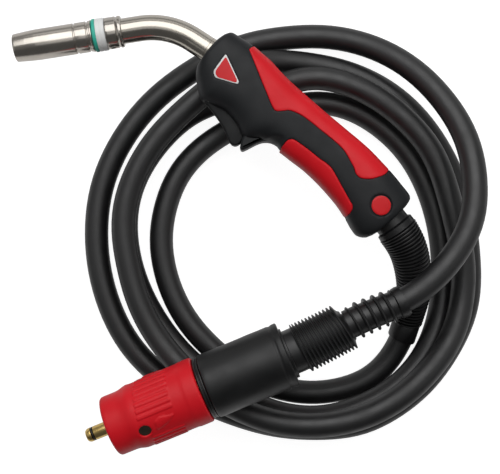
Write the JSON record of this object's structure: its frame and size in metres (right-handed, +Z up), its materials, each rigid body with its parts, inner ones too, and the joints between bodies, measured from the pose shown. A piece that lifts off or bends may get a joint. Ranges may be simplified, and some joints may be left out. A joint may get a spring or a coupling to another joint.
{
  "type": "mig welding torch",
  "caption": "Gas-cooled MIG welding torch: swan-neck gun with trigger, coiled coaxial cable and machine-end plug with a red locking nut.",
  "frame": {"origin": "centre of the gas nozzle's mouth", "axes": "+Z up from the surface that the coil lies on; X and Y lie in the plane of the resting gun, the nozzle points 9 degrees below -X"},
  "size_m": [0.348, 0.3179, 0.0937],
  "materials": {
    "nickel": "satin nickel plating",
    "green_rubber": "smooth",
    "white_insulator": "smooth",
    "copper": "satin copper",
    "brown_insulator": "moulded",
    "brass": "turned",
    "steel": "zinc plated",
    "black_plastic": "fine grain",
    "red_grip": "soft touch",
    "red_plastic": "satin",
    "wire_insulation": "smooth",
    "white_badge": "smooth",
    "black_rubber": "matt"
  },
  "bodies": {
    "torch": {"nozzle_o_ring": "green_rubber", "insulator_ring": "white_insulator", "neck_collar": "nickel", "neck_tube": "nickel", "neck_conductor": "copper", "contact_tip": "copper", "gas_diffuser": "brown_insulator", "tip_holder": "brass", "nozzle_spring": "steel", "wire_liner": "steel", "handle_shell_left": "black_plastic", "handle_shell_right": "black_plastic", "grip_back_left": "red_grip", "grip_back_right": "red_grip", "grip_front_left": "red_grip", "grip_front_right": "red_grip", "trigger_pin": "steel", "trigger_spring": "steel", "microswitch": "black_plastic", "switch_terminals": "brass", "trigger_wires": "wire_insulation", "badge_corner": "white_badge", "badge_round": "red_plastic", "handle_screws": "steel", "neck_clamp": "brass", "crimp_link": "copper", "gun_ferrule": "steel", "gun_sleeve": "black_rubber", "cable": "black_rubber", "cable_guide": "black_rubber", "rear_sleeve": "black_rubber", "plug_housing": "black_plastic", "housing_ring": "black_plastic", "plug_insulator": "black_plastic", "plug_body": "brass", "centre_pin": "brass", "pin_o_ring": "black_rubber", "contact_spring_upper": "steel", "contact_spring_lower": "steel", "plug_crimp": "steel", "housing_screw": "steel"},
    "trigger": {"trigger": "black_plastic"},
    "plunger": {"switch_plunger": "red_plastic"},
    "nozzle": {"gas_nozzle": "nickel"},
    "nut": {"locking_nut": "red_plastic", "nut_thread_ring": "brass", "nut_screws": "steel"},
    "contact_upper": {"contact_pin_upper": "brass"},
    "contact_lower": {"contact_pin_lower": "brass"}
  },
  "joints": [
    {"name": "trigger_press", "type": "hinge", "parent": "torch", "child": "trigger", "pos_m": [0.1402, -0.0384, 0], "axis": [0, 0, 1], "range_deg": [0, 6], "stiffness_Nm_per_rad": 1.5, "springref_deg": -2.86, "deforming": ["trigger_spring"]},
    {"name": "plunger_slide", "type": "slide", "parent": "torch", "child": "plunger", "axis": [0.5, 0.866, 0], "range_m": [0, 0.0015]},
    {"name": "nozzle_pull", "type": "slide", "parent": "torch", "child": "nozzle", "axis": [-0.9877, -0.1564, 0], "range_m": [0, 0.06]},
    {"name": "nut_turn", "type": "hinge", "parent": "torch", "child": "nut", "pos_m": [0.0707, -0.27, 0.013], "axis": [0.9252, 0.3795, 0], "continuous": true},
    {"name": "contact_upper_push", "type": "slide", "parent": "torch", "child": "contact_upper", "axis": [0.9252, 0.3795, 0], "range_m": [0, 0.004], "stiffness_N_per_m": 300, "springref_m": -0.002, "deforming": ["contact_spring_upper"]},
    {"name": "contact_lower_push", "type": "slide", "parent": "torch", "child": "contact_lower", "axis": [0.9252, 0.3795, 0], "range_m": [0, 0.004], "stiffness_N_per_m": 300, "springref_m": -0.002, "deforming": ["contact_spring_lower"]}
  ],
  "couplings": [
    {"joint": "plunger_slide", "follows": "trigger_press", "m_per_rad": 0.0137}
  ]
}
